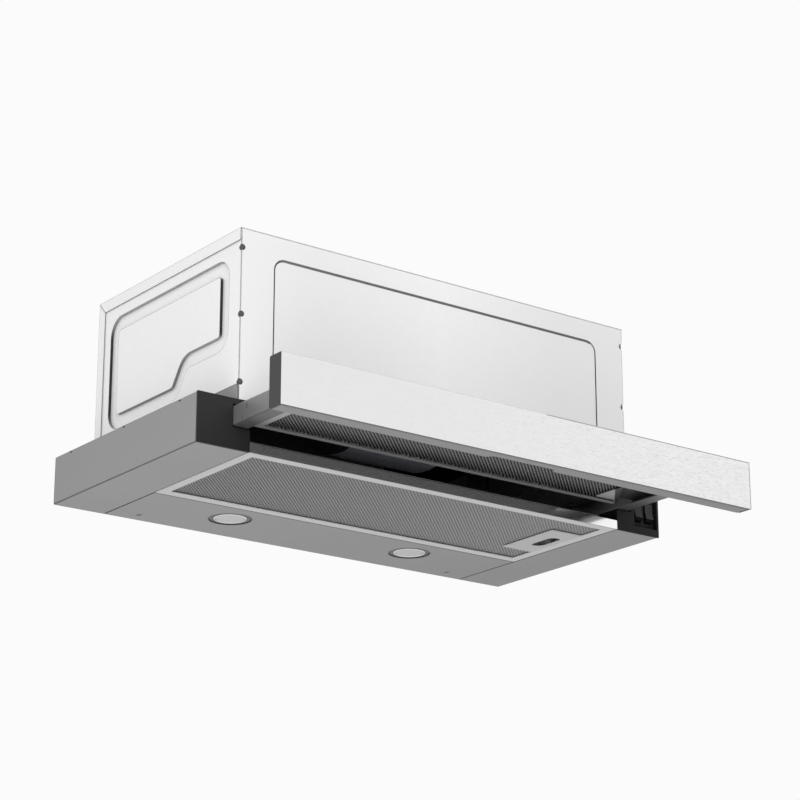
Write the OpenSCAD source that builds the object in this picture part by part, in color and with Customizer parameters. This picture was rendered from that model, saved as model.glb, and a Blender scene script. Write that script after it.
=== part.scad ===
// Pull out range hood for a 60 cm wall cabinet, shown with its visor drawn out.
// X runs to the right, Y to the wall and Z up. Lengths are millimetres.

/* [Overall] */
// Width of the tray and of the front trim
hood_w = 600; // [580:1:900]
// Depth of the tray from its front to its rear wall
tray_d = 280; // [274:1:330]
// Height of the tray
tray_h = 52; // [51.5:0.5:58]
// Travel of the visor, drawn out here
visor_out = 124; // [114:1:128]
// Width of the underside strip at each side of the filter
strip_w = 61; // [61:1:68]
// Thickness of the folded sheet steel
sheet = 1; // [0.8:0.1:1.1]
// Inner radius of the sheet bends
bend_r = 0.6; // [0.4:0.1:1]

/* [Housing] */
// Height of the motor housing above the tray
housing_h = 181.5; // [179:0.5:210]
// Step from the tray side in to the housing side
housing_inset = 47; // [45:1:56]
// Depth of the pressed panels
emboss = 3; // [2:0.5:4]
// Width of the pressed groove in each housing side
groove_w = 16; // [12:1:18]
// Height of the top cover's side flanges
cover_flange = 13; // [10:1:16]
// Width of the rear panel's side flanges
rear_flange = 12.5; // [9:0.5:15]
// Radius of the holes on the front corner bends
corner_hole_r = 3.4; // [2.8:0.1:4]

/* [Visor slides] */
// Width of a visor arm
arm_w = 17; // [15:0.5:17]
// Height of a visor arm
arm_h = 21; // [19:0.5:22]
// Length of an arm left inside the tray
arm_tail = 80; // [70:1:84]
// Thickness of the arm and rail steel
rail_t = 1.2; // [1:0.1:1.4]
// Diameter of the slide balls
ball_d = 2.8; // [2.4:0.1:3]
// Balls along one edge of a cage
balls_per_edge = 6; // [4:1:6]

/* [Visor and trim] */
// Depth of the front trim
trim_t = 20; // [18:0.5:24]
// Thickness of the trim's brushed front plate
plate_t = 1; // [0.8:0.1:1.5]
// Thickness of an end cap
cap_t = 2.3; // [1.8:0.1:3]
// Width of the finger notch under the trim
notch_w = 85; // [70:1:110]
// Depth of the finger notch
notch_d = 6.5; // [5:0.5:8]
// Thickness of the visor's filter
visor_filter_t = 8; // [7:0.5:9]

/* [Grease filter] */
// Depth of the removable grease filter
filter_d = 175.3; // [170:0.1:178]
// Thickness of the grease filter
filter_t = 9; // [8.5:0.1:9]
// Visible width of the filter frame
filter_rim = 11; // [9:0.5:13]
// Height of the metal bar in front of the filter
crossbar_h = 11.3; // [11:0.1:13]
// Spacing of the mesh strands
mesh_pitch = 7; // [6:0.5:12]
// Length of the latch plate
latch_l = 85; // [75:1:95]
// Length of the latch's finger hole
finger_l = 40; // [34:1:44]
// Width of the latch's finger hole
finger_w = 16; // [14:0.5:16]
// How far the latch draws back
latch_travel = 4; // [3:0.5:4]

/* [Lamps] */
// Distance between the two lamps
lamp_pitch = 240; // [180:1:300]
// Distance from the filter back to the lamp centres
lamp_back = 41; // [36:1:48]
// Radius of the lamp bezel
bezel_r = 22.5; // [21.5:0.5:24]

/* [Controls] */
// Width of a rocker
rocker_w = 10.6; // [9:0.1:10.8]
// Height of a rocker
rocker_h = 24; // [20:0.5:24]
// Angle that a rocker tips through
rocker_tip = 14; // [8:1:14]

/* [Duct outlet] */
// Outer radius of the duct collar
collar_r = 59.5; // [56:0.5:60]
// Height of the duct collar above the housing
collar_h = 32; // [26:1:40]

/* [Fan] */
// Outer radius of the impeller
impeller_r = 62; // [58:0.5:63]
// Width of the fan scroll
scroll_w = 114; // [104:1:118]
// Widening of the scroll from its tongue to its outlet
scroll_growth = 30; // [24:1:31]
// Number of impeller blades
blades = 36; // [24:1:40]
// Radius of the motor
motor_r = 37; // [32:0.5:39]

/* [Hidden] */
$fn = 64;

// Colours
painted_grey = [0.55, 0.55, 0.56];
zinc_pale = [0.86, 0.87, 0.88];
dark_plastic = [0.18, 0.18, 0.19];
brushed = [0.88, 0.88, 0.88];
alu = [0.74, 0.74, 0.75];
mesh_grey = [0.5, 0.5, 0.51];
steel_grey = [0.45, 0.45, 0.46];

// Clearances
seam = 0.1;
snug = 0.2;
part_gap = 0.4;
running = 0.05;
screw_r = 1.6;
screw_hole_r = screw_r + 0.1;

// The origin lies under the middle of the whole hood, so the tray front sits off centre
tray_y = (visor_out + trim_t - tray_d) / 2;
half_w = hood_w / 2;
open_x = half_w - strip_w;
housing_x = half_w - housing_inset;
top_z = tray_h + housing_h;
flange_x = housing_x + snug + sheet;
flange_top = tray_h + 16.5;
wall_y = tray_d - sheet;
cabinet_x = half_w - 23;
cabinet_pitch_y = 160;
cabinet_hole_r = 2.5;
strip_gap = 0.45;

// Housing
low_z = tray_h + snug;
under_top = top_z - sheet - seam;
cover_low = top_z - cover_flange;
return_w = 12;
corner_hole_t = 2.2;
corner_hole_z = [for (i = [0 : 2]) tray_h + 18.5 + i * (housing_h - 39.5) / 2];

// Visor slides: x values are distances from the middle of the hood
arm_in = open_x + 2;
arm_out = arm_in + arm_w;
arm_top = tray_h - 7;
arm_low = arm_top - arm_h;
ball_room = ball_d + 0.6;
rail_in = arm_out + 3;
rail_out = rail_in + rail_t;
rail_lip = rail_out - 13.2;
rail_top = arm_top + ball_room + rail_t;
rail_low = arm_low - ball_room - rail_t;
rail_start = 4;
rail_end = arm_tail + visor_out + 22;
bracket_l = 20;
bracket_y = [for (i = [0 : 2]) rail_start + 30 + i * (rail_end - rail_start - 46 - bracket_l) / 2];
cage_t = 0.8;
ball_pitch = 10;
cage_l = ball_pitch * (balls_per_edge - 1) + 12;
cage_start = arm_tail - cage_l - 6;

// Visor and trim
trim_front = -visor_out - trim_t;
trim_rear = -visor_out - 0.5;
web_y = trim_front + plate_t;
arm_front = web_y + sheet;
trim_low = 0.4;
trim_top = tray_h - 0.4;
trim_end = half_w - cap_t - seam;
arm_screw_z = arm_top - 5.5;
arm_screw_x = [arm_in - 6, arm_in + 6];
vf_front = arm_front + 2;
vf_rear = -5;
vf_left = arm_out - rail_t - 0.8;
vf_z = arm_low + rail_t + snug;
vf_top = vf_z + visor_filter_t;

// Grease filter
filter_x = open_x - strip_gap;
filter_y0 = sheet + 0.7;
hook_w = 16;
hook_l = 6;
filter_y1 = filter_y0 + filter_d;
latch_y = (filter_y0 + filter_y1) / 2;
latch_x = filter_x - filter_rim - 0.1;
finger_x = filter_x - 25.7;
rib_x = finger_x - finger_w / 2 + 1.5;
case_x0 = rib_x - latch_travel - 3;
case_l = finger_l + 14;
nose_w = 12;
lip_t = 1;

// Lamps
lamp_y = filter_y1 + lamp_back;
lamp_t = 1.2;
lamp_hole = bezel_r - 2;
rim_r = 0.78 * bezel_r;
panel_y0 = filter_y1 + 0.7;
panel_screw_x = open_x - 32;
panel_screw_y = tray_d - 18.5;

// Controls
face_t = 2;
skirt = 14;
window_gap = 1.4;
recess_x0 = half_w - 35.5;
recess_x1 = half_w - 2.7;
recess_z0 = 8;
recess_z1 = tray_h - 3;
recess_d = 6;
wall_t = 1.4;
switch_z = tray_h / 2 + 1.5;
rocker_x = [half_w - 26.7, half_w - 11];
rocker_pivot_y = recess_d + 4.5;
pin_r = 1.2;
rocker_play = 0.6;
body_y = recess_d + wall_t + seam;
switch_back = body_y + 20.5;
blade_l = 8;

// Fan and duct
scroll_wall = 2;
tongue = 60;
tongue_r = impeller_r + 6;
scroll_low = 270;
fan_y = tongue_r + scroll_growth * 120 / 300 + 16;
fan_z = tray_h + 6 + tongue_r + scroll_growth * (scroll_low - tongue) / 300;
scroll_top = top_z - sheet - snug;
scroll_x = scroll_w / 2;
inlet_r = impeller_r - 10;
blade_in = impeller_r - 12;
blade_x = scroll_x - 11;
shaft_r = 4;
hub_l = 18;
motor_x0 = -scroll_x - 5;
motor_x1 = -6;
collar_y = fan_y + 54;
collar_in = collar_r - 2;
rod_z = top_z + 7;
rod_r = 1.2;
flap_r = collar_in - 0.7;
flap_t = 1.2;
barrel_r = 2.4;
boss_x = collar_in - 4.5;
front_barrels = [[-46, -30], [6, 22]];
rear_barrels = [[-26, -10], [26, 42]];

// Electrics
box_w = 90;
box_d = 46;
box_h = 70;
box_x = housing_x - 33 - box_w;
box_y = wall_y - box_d - snug;
box_z = tray_h + 62;
gland_x = box_x + box_w / 2;
gland_y = wall_y - 26;
switch_front = arm_tail + visor_out + 3;

// Sheet metal helpers

function unit(v) = v / norm(v);
function left_of(v) = [-v[1], v[0]];

// Both ends of a span: measured from a place c, or of width w about a middle c
function span(c, ends) = [c + ends[0], c + ends[1]];
function about(c, w) = [c - w / 2, c + w / 2];
function turned(list) = [for (i = [len(list) - 1 : -1 : 0]) list[i]];
function heading(path, i) = unit(path[i + 1] - path[i]);

// The corner points of a line that runs t to the left of path
function beside(path, t) =
    let (last = len(path) - 1)
    [for (i = [0 : last])
        let (n0 = left_of(heading(path, max(i - 1, 0))),
             n1 = left_of(heading(path, min(i, last - 1))))
        path[i] + t * (n0 + n1) / (1 + n0 * n1)];

// An arc of radius r that rounds the corner p between its neighbours a and b
function fillet(a, p, b, r, steps) =
    let (u = unit(a - p),
         v = unit(b - p),
         half_angle = acos(u * v) / 2,
         c = p + unit(u + v) * r / sin(half_angle),
         s = p + u * r / tan(half_angle) - c,
         f = p + v * r / tan(half_angle) - c,
         start = atan2(s[1], s[0]),
         sweep = (atan2(f[1], f[0]) - start + 540) % 360 - 180)
    [for (k = [0 : steps]) c + r * [cos(start + sweep * k / steps), sin(start + sweep * k / steps)]];

// Closed outline with the corner radii given, 0 for a sharp corner
function rounded(pts, radii, steps = 4) =
    let (n = len(pts))
    [for (i = [0 : n - 1])
        each radii[i] < 0.01 ? [pts[i]]
            : fillet(pts[(i + n - 1) % n], pts[i], pts[(i + 1) % n], radii[i], steps)];

function is_left_turn(path, i) =
    let (u = heading(path, i - 1), v = heading(path, i)) u[0] * v[1] - u[1] * v[0] > 0;

// Section of a sheet folded along path, its thickness t on the left of the path
module bent_sheet(path, t, r = bend_r) {
    last = len(path) - 1;
    outer = [for (i = [0 : last]) i == 0 || i == last ? 0 : is_left_turn(path, i) ? r + t : r];
    inner = [for (i = [0 : last]) i == 0 || i == last ? 0 : is_left_turn(path, i) ? r : r + t];
    polygon(rounded(concat(path, turned(beside(path, t))), concat(outer, turned(inner))));
}

// Runs an XZ section from y0 to y1
module run_y(y0, y1) translate([0, y1, 0]) rotate([90, 0, 0]) linear_extrude(y1 - y0) children();

// Runs a YZ section from x0 to x1
module run_x(x0, x1) translate([x0, 0, 0]) rotate([90, 0, 90]) linear_extrude(x1 - x0) children();

module block(x, y, z) translate([x[0], y[0], z[0]]) cube([x[1] - x[0], y[1] - y[0], z[1] - z[0]]);
module in_hood() translate([0, tray_y, 0]) children();
module on_right() mirror([1, 0, 0]) children();
module along_x(x, y, z) translate([x, y, z]) rotate([0, 90, 0]) children();
module into_y(x, y, z) translate([x, y, z]) rotate([-90, 0, 0]) children();
module slot(l, w) {
    translate([-w / 2, w / 2 - l / 2]) square([w, l - w]);
    for (end = [-1, 1]) translate([0, end * (l - w) / 2]) circle(d = w);
}

// Tray

// One folded sheet: underside strip, side, top strip and the flange beside the housing
module tray_side() {
    edge = open_x + strip_gap;
    corner = 5;
    path = [[-flange_x, flange_top], [-flange_x, tray_h], [-half_w, tray_h], [-half_w, 0], [-edge, 0]];
    difference() {
        run_y(0, tray_d) bent_sheet(path, sheet);
        block([-half_w - 1, -edge + 1], [-1, face_t], [-1, tray_h]);
        run_x(-flange_x - 1, -flange_x + sheet + 1) difference() {
            translate([-1, flange_top - corner]) square([corner + 1, corner + 1]);
            translate([corner, flange_top - corner]) circle(corner);
        }
        for (y = [-1, 0, 1] * 107) {
            block([-half_w - 1, -half_w + sheet + 1], about(tray_d / 2 + y, 3), [tray_h - 2.6, tray_h + 1]);
        }
        for (y = [-1, 1] * cabinet_pitch_y / 2) {
            translate([-cabinet_x, tray_d / 2 + y, tray_h - 5]) cylinder(r = cabinet_hole_r, h = 10);
        }
    }
}
module tray_side_left() color(painted_grey) in_hood() tray_side();
module tray_side_right() color(painted_grey) in_hood() on_right() tray_side();

module tray_back() {
    x = half_w - sheet - bend_r;
    low = sheet + seam;
    high = tray_h - sheet - seam;
    color(painted_grey) in_hood() difference() {
        run_x(-x, x)
            bent_sheet([[tray_d - 25, low], [tray_d, low], [tray_d, high], [tray_d - 12, high]], sheet);
        for (side = [-1, 1]) {
            translate([side * panel_screw_x, panel_screw_y, 0]) cylinder(r = screw_hole_r, h = 5);
        }
    }
}

module lamp_panel() {
    x = open_x - seam;
    color(painted_grey) in_hood() difference() {
        union() {
            run_x(-x, x) bent_sheet([[panel_y0, filter_t], [panel_y0, 0], [tray_d - seam, 0]], sheet);
            for (side = [-1, 1]) {
                translate([side * lamp_pitch / 2, lamp_y, 0])
                    cylinder(r = bezel_r + 0.5 + sheet, h = lamp_t + sheet);
            }
        }
        for (side = [-1, 1]) {
            translate([side * lamp_pitch / 2, lamp_y, -1]) cylinder(r = bezel_r + 0.5, h = lamp_t + 1);
            translate([side * lamp_pitch / 2, lamp_y, -1]) cylinder(r = lamp_hole, h = 10);
            translate([side * panel_screw_x, panel_screw_y, -0.01])
                cylinder(r1 = 2.7 + seam, r2 = screw_hole_r, h = sheet + 0.02);
        }
    }
}

module front_crossbar() {
    x = open_x - seam;
    color(brushed) in_hood() run_x(-x, x) bent_sheet([[skirt, crossbar_h], [0, crossbar_h], [0, 0]], sheet);
}

// Moulded cover of a tray end, open where the visor arm passes
module cover_shell(ribbed) {
    out = half_w - sheet - snug;
    low = sheet + snug;
    high = tray_h - sheet - snug;
    t = 1.8;
    run_y(0, face_t) difference() {
        translate([-half_w, 0]) square([strip_w, tray_h]);
        translate([-arm_out - window_gap, arm_low - window_gap])
            square([arm_w + window_gap + 10, arm_h + 2 * window_gap]);
    }
    block([-out, -open_x], [face_t, skirt], [low, low + t]);
    block([-out, -out + t], [face_t, skirt], [low, high]);
    block([-out, -rail_out - 1.8], [face_t, skirt], [high - t, high]);
    block([-open_x - t, -open_x], [face_t, skirt], [low, arm_low - window_gap]);
    if (ribbed) {
        for (x = [15, 28]) {
            block(about(x - half_w, 1.4), [face_t, skirt], [low, high]);
        }
    }
}

module end_cover() color(dark_plastic) in_hood() cover_shell(true);

module control_box() {
    high = tray_h - sheet - snug;
    slot_z = (recess_z0 + switch_z - rocker_h / 2) / 2;
    color(dark_plastic) in_hood() difference() {
        union() {
            on_right() cover_shell(false);
            block([recess_x0 - wall_t, half_w - sheet - snug], [face_t / 2, recess_d + wall_t],
                [recess_z0 - wall_t, high]);
        }
        block([recess_x0, recess_x1], [-1, recess_d], [recess_z0, recess_z1]);
        for (x = rocker_x) {
            block(about(x, rocker_w + rocker_play), [0, 20], about(switch_z, rocker_h + 3 * rocker_play));
            block(about(x, rocker_w), [0, recess_d + 0.6], about(slot_z, 0.8));
        }
    }
}

// Switches

// A rocker lies tipped with its upper end in, as it rests when switched off
module rocker(x) {
    half = rocker_h / 2;
    slope = rocker_h / 8;
    translate([x, rocker_pivot_y, switch_z]) rotate([-rocker_tip / 2, 0, 0]) {
        run_x(-rocker_w / 2, rocker_w / 2)
            polygon([[4, half - 0.5], [4, 0.5 - half], [slope - 8, -half], [-8, slope - half], [-6.8, 0],
                [-8, half - slope], [slope - 8, half]]);
        along_x(-rocker_w / 2 - 0.9, 0, 0) cylinder(r = pin_r, h = rocker_w + 1.8);
    }
}

module switch_body(x) {
    half_x = rocker_w / 2 + 1.2;
    half_z = rocker_h / 2 + 2;
    translate([x, 0, switch_z]) {
        difference() {
            block([-half_x, half_x], [body_y, switch_back], [-half_z, half_z]);
            block(about(0, rocker_w + rocker_play), [0, body_y + 10], about(0, rocker_h + 3 * rocker_play));
            along_x(-10, rocker_pivot_y, 0) cylinder(r = pin_r + running, h = 20);
        }
        for (z = [-8, 0, 8]) {
            block(about(0, 0.8), [switch_back, switch_back + blade_l], about(z, 6));
        }
    }
}

module light_rocker() color(dark_plastic) in_hood() rocker(rocker_x[0]);
module fan_rocker() color(dark_plastic) in_hood() rocker(rocker_x[1]);
module light_switch_body() color(dark_plastic) in_hood() switch_body(rocker_x[0]);
module fan_switch_body() color(dark_plastic) in_hood() switch_body(rocker_x[1]);

// Housing

module corner_holes() {
    for (z = corner_hole_z) {
        translate([-housing_x, 0, z]) rotate([0, 90, 45]) translate([0, 0, -5])
            cylinder(r = corner_hole_r, h = 5 + corner_hole_t);
    }
}

// Rounded rectangle in the XZ plane of the front, inset by s
module recess_outline(s) {
    r = 13;
    x = housing_x - 39 - s;
    z = [tray_h + 24 + s, top_z - 23.5 - s];
    polygon(rounded([[-x, z[0]], [x, z[0]], [x, z[1]], [-x, z[1]]], [1, 1, 1, 1] * (r - s), 6));
}

module recess_form(grow) {
    depth = emboss / 2;
    slope = emboss * 0.75;
    hull() {
        run_y(-0.01, 0) recess_outline(-grow);
        run_y(depth + grow - 0.01, depth + grow) recess_outline(slope - grow);
    }
}

module housing_front() {
    inner = housing_x - sheet - snug;
    color(zinc_pale) in_hood() difference() {
        union() {
            block([-housing_x, housing_x], [0, sheet], [low_z, under_top]);
            run_x(-inner, inner)
                bent_sheet([[return_w, under_top], [0, under_top], [0, low_z], [return_w, low_z]], sheet);
            for (side = [-1, 1]) {
                block(about(side * (inner - sheet / 2), sheet), [0, return_w], [low_z, under_top]);
            }
            intersection() {
                recess_form(sheet);
                block([-housing_x, housing_x], [0, 20], [low_z, under_top]);
            }
        }
        recess_form(0);
        corner_holes();
        on_right() corner_holes();
    }
}

// Island left standing inside the pressed groove, as (y, z)
module island() {
    y = [38, wall_y - 40];
    z = [tray_h + 45, top_z - 41.5];
    step_y = span(y[0], [68, 89]);
    step_z = z[0] + 30;
    polygon(rounded([[y[0], z[1]], [y[0], step_z], [step_y[0], step_z], [step_y[1], z[0]], [y[1], z[0]],
        [y[1], z[1]]],
        [4, 4, 26, 7, 5, 5], 6));
}

module housing_side() {
    color(zinc_pale) in_hood() difference() {
        union() {
            block([-housing_x, -housing_x + sheet], [sheet + seam, wall_y - seam], [low_z, under_top]);
            run_x(-housing_x, -housing_x + emboss + sheet) difference() {
                offset(r = groove_w + sheet) island();
                offset(delta = -sheet) island();
            }
        }
        run_x(-housing_x - 1, -housing_x + emboss) difference() {
            offset(r = groove_w) island();
            island();
        }
        corner_holes();
    }
}

module housing_side_left() housing_side();
module housing_side_right() on_right() housing_side();

module housing_back() {
    out = housing_x + seam + sheet;
    fold_y = tray_d - rear_flange;
    fold_z = cover_low - part_gap;
    top_y = fold_y + (under_top - fold_z) * rear_flange / cover_flange;
    color(zinc_pale) in_hood() {
        block([-housing_x, housing_x], [wall_y, tray_d], [low_z, under_top]);
        for (side = [-1, 1]) {
            run_x(min(side * out, side * (out - sheet)), max(side * out, side * (out - sheet)))
                polygon([[fold_y, flange_top + 1], [tray_d, flange_top + 1], [tray_d, under_top],
                    [top_y, under_top], [fold_y, fold_z]]);
            block(about(side * (housing_x + seam / 2), seam + 0.02), [wall_y, tray_d],
                [flange_top + 1, under_top]);
        }
    }
}

module housing_top() {
    out = housing_x + seam + sheet;
    color(zinc_pale) in_hood() difference() {
        union() {
            block([-out, out], [0, tray_d], [top_z - sheet, top_z]);
            for (side = [-1, 1]) {
                run_x(min(side * out, side * (out - sheet)), max(side * out, side * (out - sheet)))
                    polygon([[sheet, cover_low], [tray_d - rear_flange, cover_low], [tray_d, top_z],
                        [sheet, top_z]]);
            }
        }
        translate([0, collar_y, top_z - 5]) cylinder(r = collar_in - 1, h = 10);
        collar_screw_places() cylinder(r = screw_hole_r, h = 10, center = true);
        translate([gland_x, gland_y, top_z - 5]) cylinder(r = 8.2, h = 10);
    }
}

// Duct outlet

module collar_screw_places() {
    for (a = [45 : 90 : 315]) {
        translate([0, collar_y, top_z]) rotate(a) translate([collar_r + 9, 0, 0]) children();
    }
}

module outlet_collar() {
    color(dark_plastic) in_hood() difference() {
        union() {
            translate([0, collar_y, top_z]) rotate_extrude($fn = 96)
                polygon([[collar_in - 3.5, 3], [collar_in, 3], [collar_in, 0], [collar_r + 15, 0],
                    [collar_r + 15, 2.5], [collar_r + 2, 2.5], [collar_r, 4.5], [collar_r, collar_h - 1],
                    [collar_r - 1, collar_h],
                    [collar_in, collar_h], [collar_in, 4.5], [collar_in - 3.5, 4.5]]);
            for (side = [-1, 1]) {
                block(about(side * (boss_x + 2.4), 4.8), about(collar_y, 7), span(top_z, [3, 10.5]));
            }
        }
        along_x(-boss_x - 3.5, collar_y, rod_z) cylinder(r = rod_r + 0.02, h = 2 * boss_x + 7);
        collar_screw_places() cylinder(r = screw_hole_r, h = 10, center = true);
    }
}

module flap_rod() color(steel_grey) in_hood() along_x(-boss_x - 3, collar_y, rod_z)
    cylinder(r = rod_r, h = 2 * boss_x + 6);

module collar_screws() {
    color(steel_grey) in_hood() collar_screw_places() {
        translate([0, 0, 2.5]) cylinder(r1 = 3.2, r2 = 2.4, h = 2);
        translate([0, 0, -5]) cylinder(r = screw_r, h = 7.5);
    }
}

// Half disc that hangs on the rod; toward is -1 for the front one and 1 for the rear one
module flap(toward, own, other) {
    low = rod_z - barrel_r + 0.1;
    under_rod = rod_z - low - flap_t;
    edge = sqrt(pow(rod_r + snug, 2) - pow(under_rod, 2));
    color(dark_plastic) in_hood() difference() {
        union() {
            translate([0, collar_y, low]) intersection() {
                cylinder(r = flap_r, h = flap_t);
                block([-100, 100], toward > 0 ? [edge, 100] : [-100, -edge], [-1, 5]);
            }
            for (x = own) {
                along_x(x[0], collar_y, rod_z) cylinder(r = barrel_r, h = x[1] - x[0]);
            }
            for (x = [-36, -12, 12, 36]) {
                block(about(x, 1.2), span(collar_y, toward > 0 ? [5, 40] : [-40, -5]),
                    span(low + flap_t, [-0.2, 1.4]));
            }
        }
        for (x = own) {
            along_x(x[0] - 1, collar_y, rod_z) cylinder(r = rod_r + running, h = x[1] - x[0] + 2);
        }
        for (x = other) {
            block([x[0] - 0.8, x[1] + 0.8], about(collar_y, 2.5 * barrel_r), about(rod_z, 10));
        }
        for (side = [-1, 1]) {
            block(about(side * (boss_x + 9.4), 20), about(collar_y, 12.4), about(rod_z, 10));
        }
    }
}

module front_flap() flap(-1, front_barrels, rear_barrels);
module rear_flap() flap(1, rear_barrels, front_barrels);

// Fan

function scroll_radius(a) = tongue_r + scroll_growth * (a - tongue) / 300;

// Spiral outline of the scroll with its outlet throat, run on by over above the top
module scroll_outline(over = 0) {
    spiral = [for (a = [tongue : 10 : 360]) [fan_y, fan_z] + scroll_radius(a) * [cos(a), sin(a)]];
    throat = [[fan_y + scroll_radius(360), scroll_top + over], [fan_y + 10, scroll_top + over],
        [fan_y + 10, scroll_top]];
    polygon(concat(spiral, throat));
}

module inlet_ring(x, side) {
    along_x(x, fan_y, fan_z) rotate_extrude() {
        translate([inlet_r, side > 0 ? 0 : -3]) square([2, 3]);
        translate([inlet_r + 2, side * 3]) circle(r = 1.5, $fn = 24);
    }
}

module fan_scroll() {
    lip = 8;
    color(dark_plastic) in_hood() {
        difference() {
            union() {
                run_x(-scroll_x, scroll_x - scroll_wall) scroll_outline();
                block([-scroll_x - lip, scroll_x - scroll_wall],
                    span(fan_y, [10 - lip, scroll_radius(360) + lip]), [scroll_top - 2, scroll_top]);
            }
            run_x(-scroll_x + scroll_wall, scroll_x) offset(r = -scroll_wall) scroll_outline(10);
            along_x(-scroll_x - 1, fan_y, fan_z) cylinder(r = inlet_r, h = 5);
            collar_screw_places() cylinder(r = screw_hole_r, h = 10, center = true);
        }
        inlet_ring(-scroll_x, -1);
    }
}

module fan_scroll_cover() {
    color(dark_plastic) in_hood() {
        difference() {
            run_x(scroll_x - scroll_wall + seam, scroll_x) intersection() {
                scroll_outline();
                square([tray_d, scroll_top - 2 - seam]);
            }
            along_x(scroll_x - 5, fan_y, fan_z) cylinder(r = inlet_r, h = 10);
        }
        inlet_ring(scroll_x, 1);
    }
}

// One forward curved blade as a thin arc between the inner and outer radius
function blade_outline(a) =
    let (half_t = 0.55,
         depth = impeller_r - blade_in,
         line = [for (s = [0 : 4]) [blade_in + depth * s / 4, a - 13 * pow(1 - s / 4, 1.6)]])
    concat([for (p = line) let (w = half_t / p[0] * 57.3) p[0] * [cos(p[1] + w), sin(p[1] + w)]],
        [for (p = turned(line)) let (w = half_t / p[0] * 57.3) p[0] * [cos(p[1] - w), sin(p[1] - w)]]);

module impeller() {
    rim = 0.5;
    ring_t = 2;
    color(steel_grey) in_hood() translate([0, fan_y, fan_z]) {
        run_x(ring_t / 2 - blade_x, blade_x - ring_t / 2)
            for (i = [0 : blades - 1]) polygon(blade_outline(i * 360 / blades));
        for (x = [-blade_x, blade_x - ring_t]) {
            run_x(x, x + ring_t) difference() {
                circle(impeller_r + rim);
                circle(blade_in - rim);
            }
        }
        run_x(-0.8, 0.8) difference() {
            circle(impeller_r + rim);
            circle(shaft_r + 0.02);
        }
        run_x(0, hub_l) difference() {
            circle(14);
            circle(shaft_r + 0.02);
        }
    }
}

module motor_shaft() color(steel_grey) in_hood() along_x(motor_x1 - 20, fan_y, fan_z)
    cylinder(r = shaft_r, h = 20 - motor_x1 + hub_l - 6);

module motor() {
    color(steel_grey) in_hood() translate([0, fan_y, fan_z]) difference() {
        rotate([0, 90, 0]) rotate_extrude()
            polygon([[0, motor_x0], [motor_r - 3, motor_x0], [motor_r, motor_x0 + 3],
                [motor_r, motor_x0 + 16], [motor_r - 2, motor_x0 + 16],
                [motor_r - 2, motor_x1 - 15], [motor_r, motor_x1 - 15],
                [motor_r, motor_x1 - 3], [motor_r - 3, motor_x1], [0, motor_x1]]);
        along_x(motor_x1 - 22, 0, 0) cylinder(r = shaft_r + running, h = 30);
        for (a = [0 : 30 : 330]) {
            rotate([a, 0, 0]) block([motor_x1 - 5, motor_x1 + 1], [-1.5, 1.5], [motor_r - 20, motor_r - 8]);
        }
    }
}

module motor_bracket() {
    x = motor_x0;
    reach = inlet_r + 11;
    color(steel_grey) in_hood() translate([0, fan_y, fan_z]) {
        run_x(x - 2, x + 4) difference() {
            circle(motor_r + 3);
            circle(motor_r + 0.1);
        }
        for (a = [90, 210, 330]) {
            rotate([a, 0, 0]) {
                block([x - 2, x], [motor_r + 2, reach + 4], [-4, 4]);
                along_x(x - 2, reach, 0) cylinder(r = 4, h = 2 - x - scroll_x - seam);
            }
        }
    }
}

// Electrics

module terminal_box() {
    color(dark_plastic) in_hood() difference() {
        block([box_x, box_x + box_w], [box_y, box_y + box_d], [box_z, box_z + box_h]);
        block([box_x + 2, box_x + box_w - 2], [box_y - 1, box_y + box_d - 2], [box_z + 2, box_z + box_h - 2]);
    }
}

module terminal_box_lid() {
    color(dark_plastic) in_hood() {
        block([box_x, box_x + box_w], span(box_y, [-2 - seam, -seam]), [box_z, box_z + box_h]);
        difference() {
            block(span(box_x, [2.2, box_w - 2.2]), span(box_y, [-1, 4]), span(box_z, [2.2, box_h - 2.2]));
            block(span(box_x, [4, box_w - 4]), span(box_y, [-0.2, 5]), span(box_z, [4, box_h - 4]));
        }
    }
}

module run_capacitor() {
    r = 14;
    l = 52;
    x = box_x + r;
    y = box_y + box_d - 2 - r - snug;
    z = box_z + 2 + r + snug;
    color(alu) in_hood() {
        along_x(x, y, z) cylinder(r = r, h = l);
        for (side = [-1, 1]) {
            block(span(x + l, [-0.5, 8]), about(y + side * 5, 0.8), about(z, 6));
        }
    }
}

module led_driver() {
    y = lamp_y - 20;
    color(dark_plastic) in_hood() {
        block([-45, 45], [y, y + 36], span(sheet + seam, [0, 2]));
        block([-38, 38], [y, y + 36], span(sheet + seam, [1, 24]));
    }
}

module cable_gland() {
    color(dark_plastic) in_hood() translate([gland_x, gland_y, top_z]) difference() {
        union() {
            translate([0, 0, -12]) cylinder(r = 8, h = 13);
            translate([0, 0, -sheet - 5]) cylinder(r = 12, h = 5, $fn = 6);
            cylinder(r = 12, h = 5, $fn = 6);
            translate([0, 0, 4]) rotate_extrude() polygon([[0, 0], [9.5, 0], [9.5, 5], [7, 10], [0, 10]]);
        }
        translate([0, 0, -20]) cylinder(r = 4.2, h = 40);
    }
}

// Visor slides

module rail() {
    color(steel_grey) in_hood() run_y(rail_start, rail_end) bent_sheet(
        [[-rail_lip, rail_top], [-rail_out, rail_top], [-rail_out, rail_low], [-rail_lip, rail_low]], rail_t);
}

module rail_left() rail();
module rail_right() on_right() rail();

module rail_brackets() {
    high = tray_h - sheet - seam;
    color(steel_grey) in_hood() for (y = bracket_y, side = [0, 1]) {
        mirror([side, 0, 0]) run_y(y, y + bracket_l) bent_sheet(
            [[-rail_out - seam, arm_low + 4], [-rail_out - seam, high], [-rail_out - 21, high]], rail_t);
    }
}

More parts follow.
